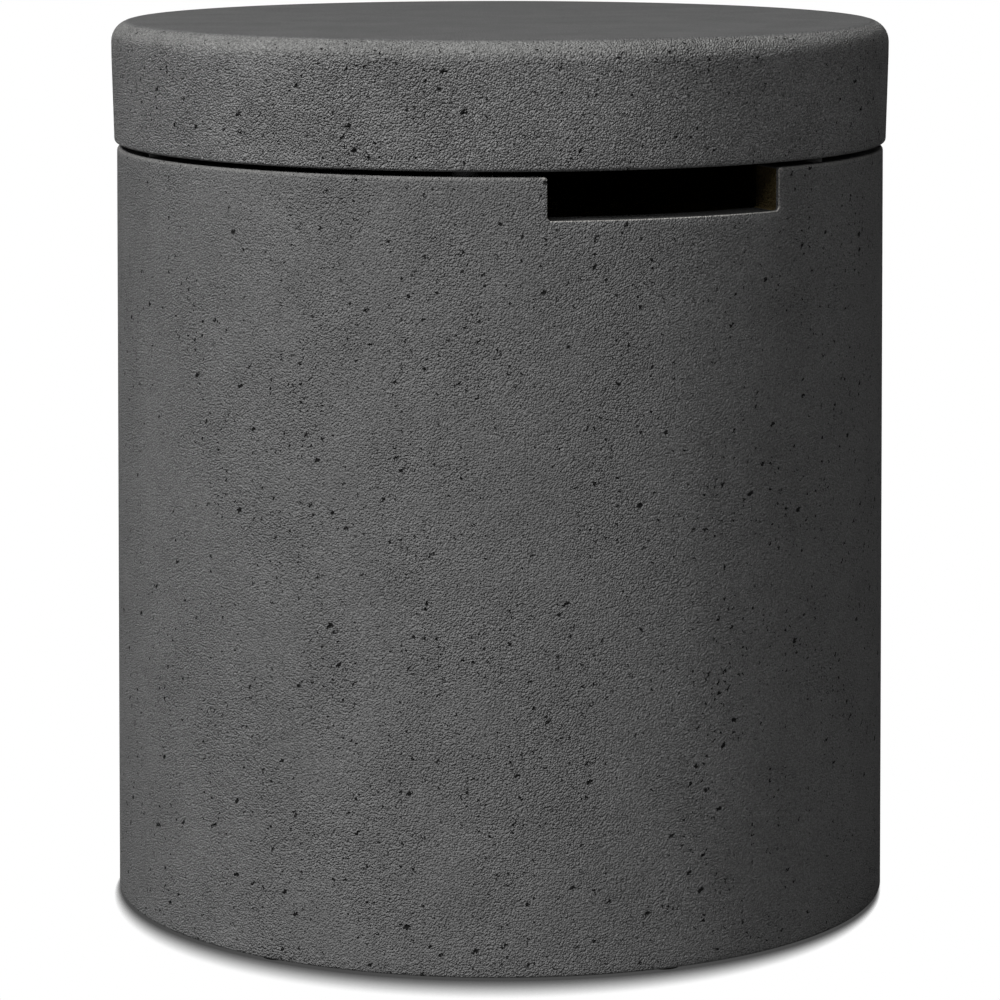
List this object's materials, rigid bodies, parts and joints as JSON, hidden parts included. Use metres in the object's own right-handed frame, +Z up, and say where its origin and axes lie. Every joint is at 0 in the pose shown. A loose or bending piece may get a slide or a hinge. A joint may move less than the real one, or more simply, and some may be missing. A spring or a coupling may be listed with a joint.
{
  "type": "propane tank cover table",
  "caption": "Round cast-concrete side table that hides a gas cylinder: drafted hollow body with a hose slot in its rim, and a lift-off lid on rubber bumpers.",
  "frame": {"origin": "on the floor, under the centre of the body", "axes": "+Z up along the axis of the round body; -Y out through the middle of the hose slot; +X to the right when the slot is looked at from outside"},
  "size_m": [0.454, 0.454, 0.512],
  "materials": {
    "body_concrete": "dark charcoal cast fibre concrete, matt, fine grain with pits",
    "lid_concrete": "dark charcoal cast fibre concrete, matt, fine grain with pits, top lightly brushed",
    "bumper_rubber": "black rubber, matt",
    "pad_rubber": "black rubber, matt",
    "cleat_plastic": "black moulded plastic, matt",
    "screw_steel": "stainless steel, plain",
    "anchor_nylon": "light grey nylon"
  },
  "bodies": {
    "base": {"body_shell": "body_concrete", "lid_bumper_1": "bumper_rubber", "lid_bumper_2": "bumper_rubber", "lid_bumper_3": "bumper_rubber", "lid_bumper_4": "bumper_rubber", "lid_bumper_5": "bumper_rubber", "lid_bumper_6": "bumper_rubber", "foot_pad_1": "pad_rubber", "foot_pad_2": "pad_rubber", "foot_pad_3": "pad_rubber", "foot_pad_4": "pad_rubber", "foot_pad_5": "pad_rubber", "foot_pad_6": "pad_rubber"},
    "lid": {"lid_shell": "lid_concrete", "locating_cleat_1": "cleat_plastic", "locating_cleat_2": "cleat_plastic", "locating_cleat_3": "cleat_plastic", "locating_cleat_4": "cleat_plastic", "locating_cleat_5": "cleat_plastic", "cleat_screws": "screw_steel", "screw_anchors": "anchor_nylon"}
  },
  "joints": [
    {"name": "lid_lift", "type": "slide", "parent": "base", "child": "lid", "axis": [0, 0, 1], "range_m": [0, 0.16]}
  ]
}
